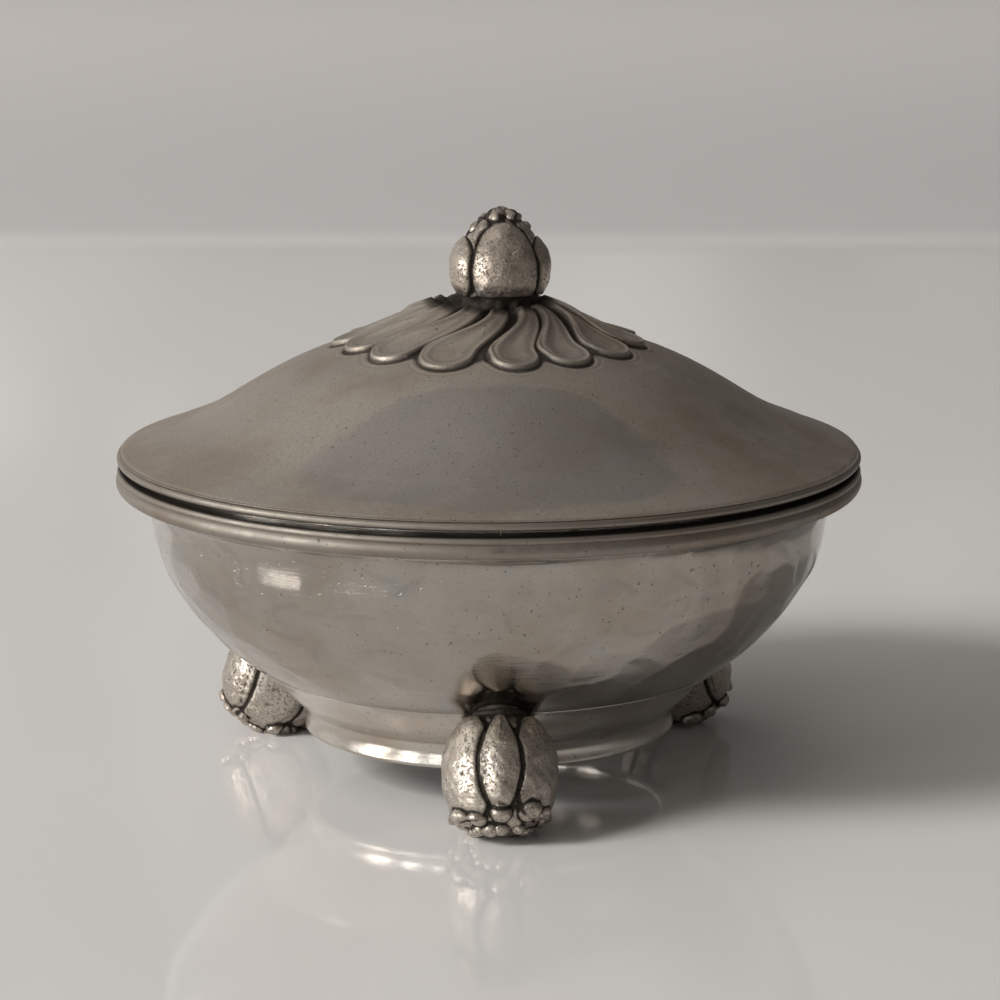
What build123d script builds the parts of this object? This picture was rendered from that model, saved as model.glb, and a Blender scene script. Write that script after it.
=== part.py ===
from build123d import *
import math
import os

# A covered sugar bowl in pewter: a raised and hammered vessel on three cast bud feet,
# with a spun lid that carries a ring of chased petals and a cast bud finial.
# Millimetres, +Z up. The origin is on the table, on the axis of the vessel.
# The front foot stands towards -Y.

# ---- driving dimensions ----
LID_RADIUS = 65.0            # outside of the lid's edge wire
BEAD_RADIUS = 65.2           # outside of the moulding on the rim
SHEET = 1.3                  # thickness of the raised pewter sheet
LIP_RADIUS = 62.3            # outside of the upright lip at the mouth
LIP_TOP = 56.65
LIP_START = 0.6              # how far above the bead's underside the lip's inside begins
BEAD_BOTTOM = 50.9
BEAD_TOP = 54.7
BEAD_UNDERCUT = 2.0          # how far the half-round turns in underneath
BEAD_MIDDLE = 1.6            # height of the half-round's widest line above its underside
BEAD_RIDGE = 1.2             # depth of the thin ridge on top
RIDGE_INSET = 0.9
VALLEY_INSET = 0.45          # shallow valley between the half-round and the ridge
RING_RADIUS = 31.2           # base ring, at its lower edge
RING_BOTTOM = 7.6
RING_WALL = 1.4
RING_ROUNDING = 0.9          # height of the rounded lower edge
RING_EDGE = 0.6
BOWL_FLOOR = 13.6            # underside of the vessel, on the axis

LID_EDGE_HEIGHT = 57.05      # underside of the lid sheet at its edge
LID_EDGE_INSET = 0.4
LID_SEAT_HEIGHT = 81.6       # flat on top of the lid under the finial
LID_SEAT_RADIUS = 9.0
WIRE_WIDTH = 2.1
WIRE_DEPTH = 1.35
WIRE_ROUNDING = 0.45
BEZEL_RADIUS = 60.3          # outside of the ring that locates the lid in the mouth
BEZEL_BOTTOM = 51.5
BEZEL_WALL = 1.2
BEZEL_BLANK = 9.0            # cut length of the ring, before the lid trims it

FINIAL_OFFSET = 1.9          # the finial was soldered a little to the right of the axis
FINIAL_TOP = 98.6
FINIAL_BUD_RADIUS = 9.0
FINIAL_NECK_RADIUS = 6.6
TENON_RADIUS = 2.5
TENON_LENGTH = 2.6
SOLDER_POOL_WIDTH = 2.4
SOLDER_POOL_DEPTH = 1.2
SOLDER_POOL_TAPER = 35

FOOT_CIRCLE = 45.4           # distance of each foot from the axis
FOOT_BUD_RADIUS = 9.3
FOOT_BUD_HEIGHT = 9.9        # height of the bud's widest line above the table
FOOT_REST_RADIUS = 2.6       # worn flat on which each foot stands
FOOT_COLLAR_RADIUS = 5.4
FOOT_COLLAR_BOTTOM = 18.9
FOOT_COLLAR_DEPTH = 1.4
FOOT_STEM_RADIUS = 3.8
FOOT_STEM_TOP = 30.0         # runs into the vessel, which trims it
FOOT_NAMES = ("foot_front", "foot_rear_right", "foot_rear_left")
FOOT_ANGLES = (-87.6, 40.0, 149.5)     # degrees from +X
FOOT_SOLDER_RADIUS = 4.5
FOOT_SOLDER_HEIGHT = 22.4
FOOT_SOLDER_SHIFT = 0.8

# outlines as (radius, height), from the axis outwards or downwards
BOWL_OUTSIDE = (
    (0.0, BOWL_FLOOR), (22.0, BOWL_FLOOR + 0.3), (34.0, 15.6), (39.3, 18.4),
    (44.6, 22.0), (49.3, 26.0), (54.1, 32.0), (57.5, 38.0), (59.2, 44.0),
    (59.9, 47.5), (LIP_RADIUS, BEAD_BOTTOM),
)
LID_OUTSIDE = (
    (10.9, 83.2), (14.5, 81.9), (18.9, 79.4), (23.4, 76.8), (28.5, 74.8),
    (35.3, 72.0), (44.1, 67.0), (50.7, 63.0), (57.5, 60.0), (64.5, 57.5),
)
RING_OUTSIDE = (
    (RING_RADIUS, RING_BOTTOM + RING_ROUNDING), (RING_RADIUS + 0.2, 10.0), (32.9, 12.6),
    (35.0, 15.0), (38.2, 17.6),
)
FINIAL_OUTSIDE = (
    (FINIAL_NECK_RADIUS, LID_SEAT_HEIGHT), (FINIAL_BUD_RADIUS - 0.9, 84.9),
    (FINIAL_BUD_RADIUS, 88.6), (FINIAL_BUD_RADIUS - 1.3, 92.2), (5.4, 95.2), (0, FINIAL_TOP),
)
FOOT_BUD_OUTSIDE = (
    (FOOT_REST_RADIUS + 2.4, 1.2), (FOOT_BUD_RADIUS, FOOT_BUD_HEIGHT),
    (FOOT_COLLAR_RADIUS + 0.9, FOOT_COLLAR_BOTTOM),
)


def radial(angle, radius, height):
    """A point at an angle round the axis, in degrees from +X."""
    turn = math.radians(angle)
    return (radius * math.cos(turn), radius * math.sin(turn), height)


def inset(points, wall):
    """Move an outline square to itself by the thickness of the sheet."""
    moved = []
    for i, (radius, height) in enumerate(points):
        before = points[max(i - 1, 0)]
        after = points[min(i + 1, len(points) - 1)]
        run = (after[0] - before[0], after[1] - before[1])
        size = math.hypot(run[0], run[1])
        moved.append((radius - wall * run[1] / size, height + wall * run[0] / size))
    return moved


# ---- bowl: the raised vessel with its upright lip ----
bowl_inside = inset(BOWL_OUTSIDE, SHEET)
bowl_inside[0] = (0.0, BOWL_FLOOR + SHEET)
bowl_inside[-1] = (LIP_RADIUS - SHEET, BEAD_BOTTOM + LIP_START)
with BuildPart() as bowl_shell:
    with BuildSketch(Plane.XZ):
        with BuildLine():
            outside = Spline(*BOWL_OUTSIDE, tangents=[(1, 0), (0.8, 1)])
            inside = Spline(*bowl_inside, tangents=[(1, 0), (0.8, 1)])
            Polyline(
                outside @ 1,
                (LIP_RADIUS, LIP_TOP),
                (LIP_RADIUS - SHEET, LIP_TOP),
                inside @ 1,
            )
            Line(inside @ 0, outside @ 0)
        make_face()
    revolve(axis=Axis.Z)

# the vessel as a filled body, which trims what is soldered to its outside
with BuildPart() as vessel_filled:
    with BuildSketch(Plane.XZ):
        with BuildLine():
            outside = Spline(*BOWL_OUTSIDE, tangents=[(1, 0), (0.8, 1)])
            Polyline(outside @ 1, (LIP_RADIUS, LIP_TOP), (0, LIP_TOP), (0, BOWL_FLOOR))
        make_face()
    revolve(axis=Axis.Z)

# ---- bowl: moulding round the rim, a half-round below a thin top ridge ----
with BuildPart() as rim_bead:
    with BuildSketch(Plane.XZ):
        with BuildLine():
            Polyline(
                (BEAD_RADIUS - RIDGE_INSET, BEAD_TOP),
                (LIP_RADIUS, BEAD_TOP),
                (LIP_RADIUS, BEAD_BOTTOM),
                (BEAD_RADIUS - BEAD_UNDERCUT, BEAD_BOTTOM),
            )
            ThreePointArc(
                (BEAD_RADIUS - BEAD_UNDERCUT, BEAD_BOTTOM),
                (BEAD_RADIUS, BEAD_BOTTOM + BEAD_MIDDLE),
                (BEAD_RADIUS - VALLEY_INSET, BEAD_TOP - BEAD_RIDGE),
            )
            ThreePointArc(
                (BEAD_RADIUS - VALLEY_INSET, BEAD_TOP - BEAD_RIDGE),
                (BEAD_RADIUS - VALLEY_INSET / 2, BEAD_TOP - BEAD_RIDGE / 2),
                (BEAD_RADIUS - RIDGE_INSET, BEAD_TOP),
            )
        make_face()
    revolve(axis=Axis.Z)

# ---- bowl: smooth flared ring under the vessel ----
with BuildPart() as base_ring:
    with BuildSketch(Plane.XZ):
        with BuildLine():
            flare = Spline(*RING_OUTSIDE)
            Polyline(
                flare @ 1,
                (RING_RADIUS - RING_WALL, RING_OUTSIDE[-1][1]),
                (RING_RADIUS - RING_WALL, RING_BOTTOM),
                (RING_RADIUS - RING_EDGE, RING_BOTTOM),
            )
            ThreePointArc(
                (RING_RADIUS - RING_EDGE, RING_BOTTOM),
                (RING_RADIUS + 0.05, RING_BOTTOM + RING_ROUNDING / 3),
                flare @ 0,
            )
        make_face()
    revolve(axis=Axis.Z)
    add(vessel_filled.part, mode=Mode.SUBTRACT)

# ---- bowl: three cast bud feet, trimmed where they meet the vessel ----
feet = []
for name, angle in zip(FOOT_NAMES, FOOT_ANGLES):
    foot_plane = Plane(
        origin=radial(angle, FOOT_CIRCLE, 0),
        x_dir=radial(angle, 1, 0),
        z_dir=radial(angle - 90, 1, 0),
    )
    foot_axis = Axis(radial(angle, FOOT_CIRCLE, 0), (0, 0, 1))
    with BuildPart() as foot:
        with BuildSketch(foot_plane):
            with BuildLine():
                bud = Spline(*FOOT_BUD_OUTSIDE, tangents=[(1, 0.7), (-1, 0.9)])
                Polyline((0, FOOT_STEM_TOP), (0, 0), (FOOT_REST_RADIUS, 0), bud @ 0)
                Polyline(
                    bud @ 1,
                    (FOOT_COLLAR_RADIUS, FOOT_COLLAR_BOTTOM),
                    (FOOT_COLLAR_RADIUS - 0.3, FOOT_COLLAR_BOTTOM + FOOT_COLLAR_DEPTH),
                    (FOOT_STEM_RADIUS + 0.4, FOOT_COLLAR_BOTTOM + FOOT_COLLAR_DEPTH),
                    (FOOT_STEM_RADIUS, FOOT_STEM_TOP),
                    (0, FOOT_STEM_TOP),
                )
            make_face()
        revolve(axis=foot_axis)
        add(vessel_filled.part, mode=Mode.SUBTRACT)
        add(base_ring.part, mode=Mode.SUBTRACT)
    foot.part.label = name
    feet.append(foot.part)

# ---- bowl: fillets of solder between the feet and the vessel ----
with BuildPart() as foot_solder_joints:
    for angle in FOOT_ANGLES:
        with Locations(radial(angle, FOOT_CIRCLE + FOOT_SOLDER_SHIFT, FOOT_SOLDER_HEIGHT)):
            Sphere(radius=FOOT_SOLDER_RADIUS)
    add(vessel_filled.part, mode=Mode.SUBTRACT)
    add(base_ring.part, mode=Mode.SUBTRACT)
    add(feet, mode=Mode.SUBTRACT)

# ---- lid: spun sheet with the petal boss raised in its middle ----
lid_inside = inset(LID_OUTSIDE, -SHEET)
lid_inside[-1] = (LIP_RADIUS + 0.3, LID_EDGE_HEIGHT)
with BuildPart() as lid_shell:
    with BuildSketch(Plane.XZ):
        with BuildLine():
            outside = Spline(*LID_OUTSIDE)
            inside = Spline(*lid_inside)
            Polyline(
                outside @ 0,
                (LID_SEAT_RADIUS, LID_SEAT_HEIGHT),
                (0, LID_SEAT_HEIGHT),
                (0, LID_SEAT_HEIGHT - SHEET),
                (LID_SEAT_RADIUS + 0.2, LID_SEAT_HEIGHT - SHEET),
                inside @ 0,
            )
            Polyline(outside @ 1, (LID_RADIUS - LID_EDGE_INSET, LID_EDGE_HEIGHT), inside @ 1)
        make_face()
    revolve(axis=Axis.Z)
    with Locations((FINIAL_OFFSET, 0, LID_SEAT_HEIGHT)):
        Hole(radius=TENON_RADIUS, depth=2 * SHEET)

# ---- lid: wire that stiffens the edge, with a rounded outer side ----
with BuildPart() as lid_edge_wire:
    with BuildSketch(Plane.XZ):
        with BuildLine():
            Polyline(
                (LID_RADIUS - WIRE_ROUNDING, LID_EDGE_HEIGHT),
                (LID_RADIUS - WIRE_WIDTH, LID_EDGE_HEIGHT),
                (LID_RADIUS - WIRE_WIDTH, LID_EDGE_HEIGHT - WIRE_DEPTH),
                (LID_RADIUS - WIRE_ROUNDING, LID_EDGE_HEIGHT - WIRE_DEPTH),
            )
            ThreePointArc(
                (LID_RADIUS - WIRE_ROUNDING, LID_EDGE_HEIGHT - WIRE_DEPTH),
                (LID_RADIUS, LID_EDGE_HEIGHT - WIRE_DEPTH / 2),
                (LID_RADIUS - WIRE_ROUNDING, LID_EDGE_HEIGHT),
            )
        make_face()
    revolve(axis=Axis.Z)

# the space under the lid, which trims what is soldered to its inside
with BuildPart() as under_lid:
    with BuildSketch(Plane.XZ):
        with BuildLine():
            inside = Spline(*lid_inside)
            Polyline(
                inside @ 0,
                (LID_SEAT_RADIUS + 0.2, LID_SEAT_HEIGHT - SHEET),
                (0, LID_SEAT_HEIGHT - SHEET),
                (0, 0),
                (LIP_RADIUS + 0.3, 0),
                inside @ 1,
            )
        make_face()
    revolve(axis=Axis.Z)

# ---- lid: ring soldered inside, which drops into the mouth ----
with BuildPart() as lid_bezel:
    with BuildSketch(Plane.XY.offset(BEZEL_BOTTOM)):
        Circle(BEZEL_RADIUS)
        Circle(BEZEL_RADIUS - BEZEL_WALL, mode=Mode.SUBTRACT)
    extrude(amount=BEZEL_BLANK)
    add(under_lid.part, mode=Mode.INTERSECT)

# ---- lid: cast bud finial on a tenon through the lid ----
finial_plane = Plane(origin=(FINIAL_OFFSET, 0, 0), x_dir=(1, 0, 0), z_dir=(0, -1, 0))
with BuildPart() as finial_bud:
    with BuildSketch(finial_plane):
        with BuildLine():
            bud = Spline(*FINIAL_OUTSIDE, tangents=[(0.2, 1), (-1, 0)])
            Polyline(
                bud @ 1,
                (0, LID_SEAT_HEIGHT - TENON_LENGTH),
                (TENON_RADIUS, LID_SEAT_HEIGHT - TENON_LENGTH),
                (TENON_RADIUS, LID_SEAT_HEIGHT),
                bud @ 0,
            )
        make_face()
    revolve(axis=Axis((FINIAL_OFFSET, 0, 0), (0, 0, 1)))

# ---- lid: pool of solder that holds the tenon inside the lid ----
with BuildPart() as finial_solder_joint:
    with BuildSketch(Plane.XY.offset(LID_SEAT_HEIGHT - SHEET)):
        with Locations((FINIAL_OFFSET, 0)):
            Circle(TENON_RADIUS + SOLDER_POOL_WIDTH)
            Circle(TENON_RADIUS, mode=Mode.SUBTRACT)
    extrude(amount=-SOLDER_POOL_DEPTH, taper=SOLDER_POOL_TAPER)

# ---- names and files ----
finished = {
    "bowl_shell": bowl_shell,
    "rim_bead": rim_bead,
    "base_ring": base_ring,
    "foot_solder_joints": foot_solder_joints,
    "lid_shell": lid_shell,
    "lid_edge_wire": lid_edge_wire,
    "lid_bezel": lid_bezel,
    "finial_bud": finial_bud,
    "finial_solder_joint": finial_solder_joint,
}
os.makedirs("parts", exist_ok=True)
for name, piece in finished.items():
    piece.part.label = name
    export_step(piece.part, f"parts/{name}.step")
for foot_part in feet:
    export_step(foot_part, f"parts/{foot_part.label}.step")
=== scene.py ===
# %% [markdown]
# # A covered sugar bowl in pewter
# The real bowl is raised from pewter sheet: a hammered vessel on a smooth base ring and three
# cast bud feet, and a spun lid with a ring of chased petals and a cast bud as its handle.
# The measured solids come first. They fix every size and place, and each surface made below
# is laid over them, so nothing has to be fitted by eye.

# %% Load the measured solids
import math
import bpy
import numpy as np
from mathutils import Matrix, Vector
from mathutils.bvhtree import BVHTree


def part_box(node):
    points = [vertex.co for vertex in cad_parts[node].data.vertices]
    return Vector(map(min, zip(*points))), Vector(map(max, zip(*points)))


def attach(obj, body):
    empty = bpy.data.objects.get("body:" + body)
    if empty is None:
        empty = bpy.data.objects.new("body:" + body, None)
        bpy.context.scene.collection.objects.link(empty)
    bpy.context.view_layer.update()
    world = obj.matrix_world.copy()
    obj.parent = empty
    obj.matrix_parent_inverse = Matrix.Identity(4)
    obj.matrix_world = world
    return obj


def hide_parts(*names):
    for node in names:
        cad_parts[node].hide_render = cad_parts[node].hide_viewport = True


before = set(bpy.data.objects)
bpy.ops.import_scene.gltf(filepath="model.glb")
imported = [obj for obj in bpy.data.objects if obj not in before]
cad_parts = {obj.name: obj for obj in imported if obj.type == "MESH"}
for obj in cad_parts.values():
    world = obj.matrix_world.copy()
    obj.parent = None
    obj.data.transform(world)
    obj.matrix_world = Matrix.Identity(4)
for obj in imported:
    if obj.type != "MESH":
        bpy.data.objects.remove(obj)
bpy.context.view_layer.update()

MM = 0.001
print("solid nodes:", sorted(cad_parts))

# %% [markdown]
# ## The camera
# The bowl is looked at from a little above the table, through a long lens, which keeps the
# circles of the rim and the base alike. The camera comes first, because everything after it
# is judged through it.

# %% Camera
CAMERA_DISTANCE = 650 * MM
CAMERA_HEIGHT = 180.7 * MM
CAMERA_TILT = math.radians(11.57)
CAMERA_SIDESTEP = 1.94 * MM
LENS = 135.8
SENSOR = 36
NEAR_CLIP = 10 * MM


def make_camera():
    """A long lens in front of the bowl, tilted down at it."""
    data = bpy.data.cameras.new("camera")
    data.lens = LENS
    data.sensor_width = SENSOR
    data.clip_start = NEAR_CLIP
    camera = bpy.data.objects.new("camera", data)
    camera.location = (CAMERA_SIDESTEP, -CAMERA_DISTANCE, CAMERA_HEIGHT)
    camera.rotation_euler = (math.pi / 2 - CAMERA_TILT, 0, 0)
    bpy.context.scene.collection.objects.link(camera)
    bpy.context.scene.camera = camera
    return camera


print("camera:", make_camera().location)

# %% [markdown]
# ## Reading an outline from a solid
# A turned body is known by one outline. A fan of rays from a point on the axis meets the
# inside of a shell first and its outside next, so one fan gives both outlines. Reading them
# from the solid, instead of typing them again, keeps the two models the same.


# %% A fan of rays through a shell
BOWL_PIVOT = 52 * MM
BOWL_FAN = (0, 91)
LID_PIVOT = 55 * MM
LID_FAN = (91.5, 178.5)
SKIP = 0.01 * MM


def fan_outlines(node, pivot, first_angle, last_angle, count=400):
    """Inside and outside outlines as rows of (radius, height). Angles run up from straight down."""
    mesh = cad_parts[node].data
    tree = BVHTree.FromPolygons([v.co for v in mesh.vertices], [p.vertices for p in mesh.polygons])
    inside, outside = [], []
    start = Vector((0, 0, pivot))
    for angle in np.radians(np.linspace(first_angle, last_angle, count)):
        aim = Vector((-math.sin(angle), 0.0, -math.cos(angle)))
        near = tree.ray_cast(start, aim)[0]
        far = tree.ray_cast(near + aim * SKIP, aim)[0] if near else None
        if near and far:
            inside.append((near.xy.length, near.z))
            outside.append((far.xy.length, far.z))
    return np.array(inside), np.array(outside)


def even_rows(points, step):
    """The same outline with its rows a fixed step apart along it."""
    points = np.asarray(points, float)
    along = np.concatenate([[0], np.cumsum(np.hypot(*np.diff(points, axis=0).T))])
    stations = np.linspace(0, along[-1], max(int(along[-1] / step), 2) + 1)
    return np.stack([np.interp(stations, along, points[:, k]) for k in (0, 1)], axis=1)


bowl_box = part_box("bowl_shell")
bowl_inside, bowl_outside = fan_outlines("bowl_shell", BOWL_PIVOT, *BOWL_FAN)
lid_inside, lid_outside = fan_outlines("lid_shell", LID_PIVOT, *LID_FAN)
lid_inside, lid_outside = lid_inside[::-1], lid_outside[::-1]
print("bowl outline rows:", len(bowl_outside), "widest", round(bowl_outside[:, 0].max() / MM, 2))
print("lid outline rows:", len(lid_outside), "top", round(lid_outside[:, 1].max() / MM, 2))

# %% [markdown]
# ## Turning an outline into a mesh
# The outline goes once round the axis on a grid of rows and columns. Relief is added by
# moving each grid point along the outline's own normal: hammer facets, petals and berries
# are all heights on this grid. Where the outline meets the axis the row is one point, so
# the mesh closes without a hole.


# %% Grid helpers
ON_AXIS = 0.001 * MM
TINY = 1e-12


def smooth_curve(points, count=160):
    """A smooth outline through a few points, by cubic blending between them."""
    points = np.asarray(points, float)
    steps = np.concatenate([[0], np.cumsum(np.hypot(*np.diff(points, axis=0).T))])
    slopes = np.gradient(points, steps, axis=0)
    spots = np.linspace(0, steps[-1], count)
    k = np.clip(np.searchsorted(steps, spots, side="right") - 1, 0, len(points) - 2)
    span = (steps[k + 1] - steps[k])[:, None]
    t = (spots - steps[k])[:, None] / span
    a = (1 + 2 * t) * (1 - t) ** 2
    b = t * (1 - t) ** 2 * span
    c = t ** 2 * (3 - 2 * t)
    d = t ** 2 * (t - 1) * span
    return a * points[k] + b * slopes[k] + c * points[k + 1] + d * slopes[k + 1]


def outline_normals(outline):
    """Unit normals of an outline, on its right-hand side."""
    run = np.gradient(outline, axis=0)
    normals = np.stack([run[:, 1], -run[:, 0]], axis=1)
    return normals / np.maximum(np.linalg.norm(normals, axis=1, keepdims=True), TINY)


def soft_step(low, high, value):
    """0 below low, 1 above high, with a smooth rise between them."""
    t = np.clip((value - low) / (high - low), 0, 1)
    return t * t * (3 - 2 * t)


def hill(value, centre, width):
    """A bell curve, 1 high at its centre."""
    return np.exp(-(((value - centre) / width) ** 2))


def cloud(points, scale, seed, waves=28):
    """A smooth random field between about -1 and 1: many plane waves of nearly one length."""
    rng = np.random.default_rng(seed)
    aims = rng.normal(size=(waves, 3))
    aims /= np.linalg.norm(aims, axis=1, keepdims=True)
    lengths = scale * rng.uniform(0.7, 1.5, waves)
    phases = rng.uniform(0, 2 * math.pi, waves)
    total = np.zeros(points.shape[:-1])
    for aim, length, phase in zip(aims, lengths, phases):
        total += np.sin(points @ aim * (2 * math.pi / length) + phase)
    return total / math.sqrt(waves)


def grid_points(outline, columns):
    """The points of an outline taken round the axis, and the turn angle of each column."""
    turns = np.linspace(0, 2 * math.pi, columns, endpoint=False)
    x = outline[:, :1] * np.sin(turns)
    y = -outline[:, :1] * np.cos(turns)
    z = np.repeat(outline[:, 1:], columns, axis=1)
    return np.stack([x, y, z], axis=2), turns


def turned_mesh(name, outline, columns, relief, recess, place=None, ring=False):
    """A closed mesh round the axis. relief is a height for each grid point, recess a 0 to 1 mark.

    A ring's outline is a loop, so its last row joins its first.
    """
    points, turns = grid_points(outline, columns)
    normals = outline_normals(outline)
    push = normals[:, :1] * relief
    points[:, :, 0] += push * np.sin(turns)
    points[:, :, 1] -= push * np.cos(turns)
    points[:, :, 2] += normals[:, 1:] * relief
    rows = len(outline)
    flat = points.reshape(-1, 3)
    index = np.arange(rows * columns).reshape(rows, columns)
    for row in (0, rows - 1):
        if outline[row, 0] < ON_AXIS:
            index[row] = index[row, 0]
            flat[index[row, 0]] = points[row].mean(axis=0)
    low, high = (index, np.roll(index, -1, 0)) if ring else (index[:-1], index[1:])
    quads = np.stack([low, np.roll(low, -1, 1), np.roll(high, -1, 1), high], 2).reshape(-1, 4)
    faces = [list(dict.fromkeys(q)) for q in quads.tolist()]
    used = np.unique(index)
    renumber = np.full(rows * columns, -1)
    renumber[used] = np.arange(len(used))
    mesh = bpy.data.meshes.new(name)
    spots = flat[used] if place is None else place(flat[used])
    mesh.from_pydata(spots.tolist(), [], [[int(renumber[i]) for i in f] for f in faces])
    mesh.polygons.foreach_set("use_smooth", [True] * len(mesh.polygons))
    mark = mesh.attributes.new("recess", "FLOAT", "POINT")
    mark.data.foreach_set("value", recess.reshape(-1)[used].astype(np.float32))
    mesh.update()
    return mesh


def hollows(relief, reach, depth):
    """Marks the places that lie below their neighbours, where polish leaves the patina."""
    blurred = relief.copy()
    for axis in (0, 1):
        total = np.zeros_like(blurred)
        for shift in range(-reach, reach + 1):
            total += np.roll(blurred, shift, axis)
        blurred = total / (2 * reach + 1)
    return np.clip((blurred - relief) / depth, 0, 1)


def add_piece(mesh, body, replaced):
    """Puts a mesh in the scene, on its body, in place of the solids that it covers."""
    piece = bpy.data.objects.new(mesh.name, mesh)
    bpy.context.scene.collection.objects.link(piece)
    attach(piece, body)
    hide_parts(*replaced)
    print(f"{mesh.name}: {len(mesh.vertices)} points on body {body}")
    return piece


# %% [markdown]
# ## The hammered vessel
# A raised bowl is struck all over with a flat-faced planishing hammer. Each blow leaves a
# small flat on the curved wall, and neighbouring flats meet in soft ridges. So the wall is
# built as the smith makes it: a plane is laid at each blow, a little inside the wall, and
# every point of the wall sinks to the deepest plane near it. A bump texture would show in
# the highlights, but not on the outline, so the facets are real geometry.

# %% Hammer blows
FACET_SIZE = 8.6 * MM
FACET_DEPTH = 0.32 * MM
FACET_TIP = 0.055
FACET_CROWN = 150 * MM
FACET_REACH = 1.5 * FACET_SIZE
COURSE_STEP = 0.84 * FACET_SIZE
COURSE_JITTER = 0.26 * FACET_SIZE
BLOW_JITTER = 0.28
RIDGE_SOFTNESS = 0.008 * MM
LEAST_SLOPE = 0.3


def hammer_blows(outline, low, high, seed):
    """Places and normals of the blows, in courses round the wall."""
    rng = np.random.default_rng(seed)
    normals = outline_normals(outline)
    along = np.concatenate([[0], np.cumsum(np.hypot(*np.diff(outline, axis=0).T))])
    first = np.interp(low, outline[:, 1], along)
    last = np.interp(high, outline[:, 1], along)
    spots, aims = [], []
    for course in np.arange(first, last, COURSE_STEP):
        radius = np.interp(course, along, outline[:, 0])
        count = int(2 * math.pi * radius / FACET_SIZE)
        turn = rng.uniform(0, 2 * math.pi)
        for k in range(count):
            angle = turn + 2 * math.pi * (k + rng.uniform(-BLOW_JITTER, BLOW_JITTER)) / count
            station = course + rng.uniform(-COURSE_JITTER, COURSE_JITTER)
            r, z = (np.interp(station, along, outline[:, i]) for i in (0, 1))
            nr, nz = (np.interp(station, along, normals[:, i]) for i in (0, 1))
            tip_r, tip_z, side = rng.normal(0, FACET_TIP, 3)
            aim = np.array([
                (nr + tip_r) * math.sin(angle) + side * math.cos(angle),
                -(nr + tip_r) * math.cos(angle) + side * math.sin(angle),
                nz + tip_z,
            ])
            spots.append((r * math.sin(angle), -r * math.cos(angle), z))
            aims.append(aim / np.linalg.norm(aim))
    return np.array(spots), np.array(aims)


def facet_relief(outline, columns, spots, aims):
    """How far each grid point sinks to the deepest flat near it, as negative heights."""
    points, turns = grid_points(outline, columns)
    normals = outline_normals(outline)
    relief = np.zeros(points.shape[:2])
    for row in range(len(outline)):
        close = np.abs(spots[:, 2] - outline[row, 1]) < FACET_REACH
        if not close.any():
            continue
        normal = np.stack([
            normals[row, 0] * np.sin(turns),
            -normals[row, 0] * np.cos(turns),
            np.full_like(turns, normals[row, 1]),
        ], axis=1)
        gap = points[row][:, None, :] - spots[close][None]
        away = np.linalg.norm(gap, axis=2)
        flat = np.einsum("ijk,jk->ij", gap, aims[close])
        below = np.minimum(flat, -away ** 2 / (2 * FACET_CROWN))
        sink = (below + FACET_DEPTH) / np.maximum(normal @ aims[close].T, LEAST_SLOPE)
        sink[away > FACET_REACH] = -1
        top = sink.max(axis=1)
        shares = np.exp((sink - top[:, None]) / RIDGE_SOFTNESS).sum(axis=1)
        merged = top + RIDGE_SOFTNESS * np.log(shares)
        relief[row] = -np.maximum(merged, 0)
    return relief


# %% The vessel
VESSEL_COLUMNS = 840
FOOT_LINE = 17.0 * MM
LIP_ROUNDING = 0.25 * MM
UNDER_STEP = 3 * MM
WALL_STEP = 0.42 * MM
HOLLOW_STEP = 1.1 * MM
HAMMERED = (23 * MM, 50.2 * MM)
FADE_IN = (21 * MM, 26 * MM)
FADE_OUT = (49 * MM, 50.6 * MM)
UNEVEN_FROM = (18 * MM, 24 * MM)
UNEVEN_TO = 49.5 * MM
UNEVEN_WIDTH = 38 * MM
UNEVEN_DEPTH = 0.10 * MM
FACET_DIRT_DEPTH = 0.05 * MM


def make_vessel():
    """The hammered wall with its lip and its smooth inside, as one closed sheet."""
    lip_top = bowl_box[1].z
    lip_out = bowl_box[1].x
    lip_in = bowl_inside[-1][0]
    under = bowl_outside[bowl_outside[:, 1] < FOOT_LINE]
    wall = bowl_outside[bowl_outside[:, 1] >= FOOT_LINE]
    wall = wall[wall[:, 1] < lip_top - 1 * MM]
    wall = even_rows(np.vstack([wall, (lip_out, lip_top - LIP_ROUNDING)]), WALL_STEP)
    under = even_rows(np.vstack([(0, under[0, 1]), under]), UNDER_STEP)
    lip = np.array([
        (lip_out - LIP_ROUNDING, lip_top),
        (lip_in + LIP_ROUNDING, lip_top),
        (lip_in, lip_top - LIP_ROUNDING),
    ])
    hollow = np.vstack([bowl_inside[1:][::-1], (0, bowl_inside[0, 1])])
    hollow = even_rows(hollow, HOLLOW_STEP)
    outline = np.vstack([under, wall[1:], lip, hollow[1:]])
    outer_rows = len(under) + len(wall) - 1
    spots, aims = hammer_blows(wall, *HAMMERED, seed=11)
    relief = np.zeros((len(outline), VESSEL_COLUMNS))
    facets = facet_relief(outline[:outer_rows], VESSEL_COLUMNS, spots, aims)
    heights = outline[:outer_rows, 1]
    fade = soft_step(*FADE_IN, heights) * (1 - soft_step(*FADE_OUT, heights))
    relief[:outer_rows] = facets * fade[:, None]
    points = grid_points(outline, VESSEL_COLUMNS)[0]
    body_part = soft_step(*UNEVEN_FROM, outline[:, 1]) * (outline[:, 1] < UNEVEN_TO)
    relief += cloud(points, UNEVEN_WIDTH, seed=5) * UNEVEN_DEPTH * body_part[:, None]
    recess = np.zeros_like(relief)
    recess[:outer_rows] = hollows(relief[:outer_rows], 3, FACET_DIRT_DEPTH)
    mesh = turned_mesh("hammered_vessel", outline, VESSEL_COLUMNS, relief, recess)
    return add_piece(mesh, "bowl", ["bowl_shell"])


vessel = make_vessel()

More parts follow.
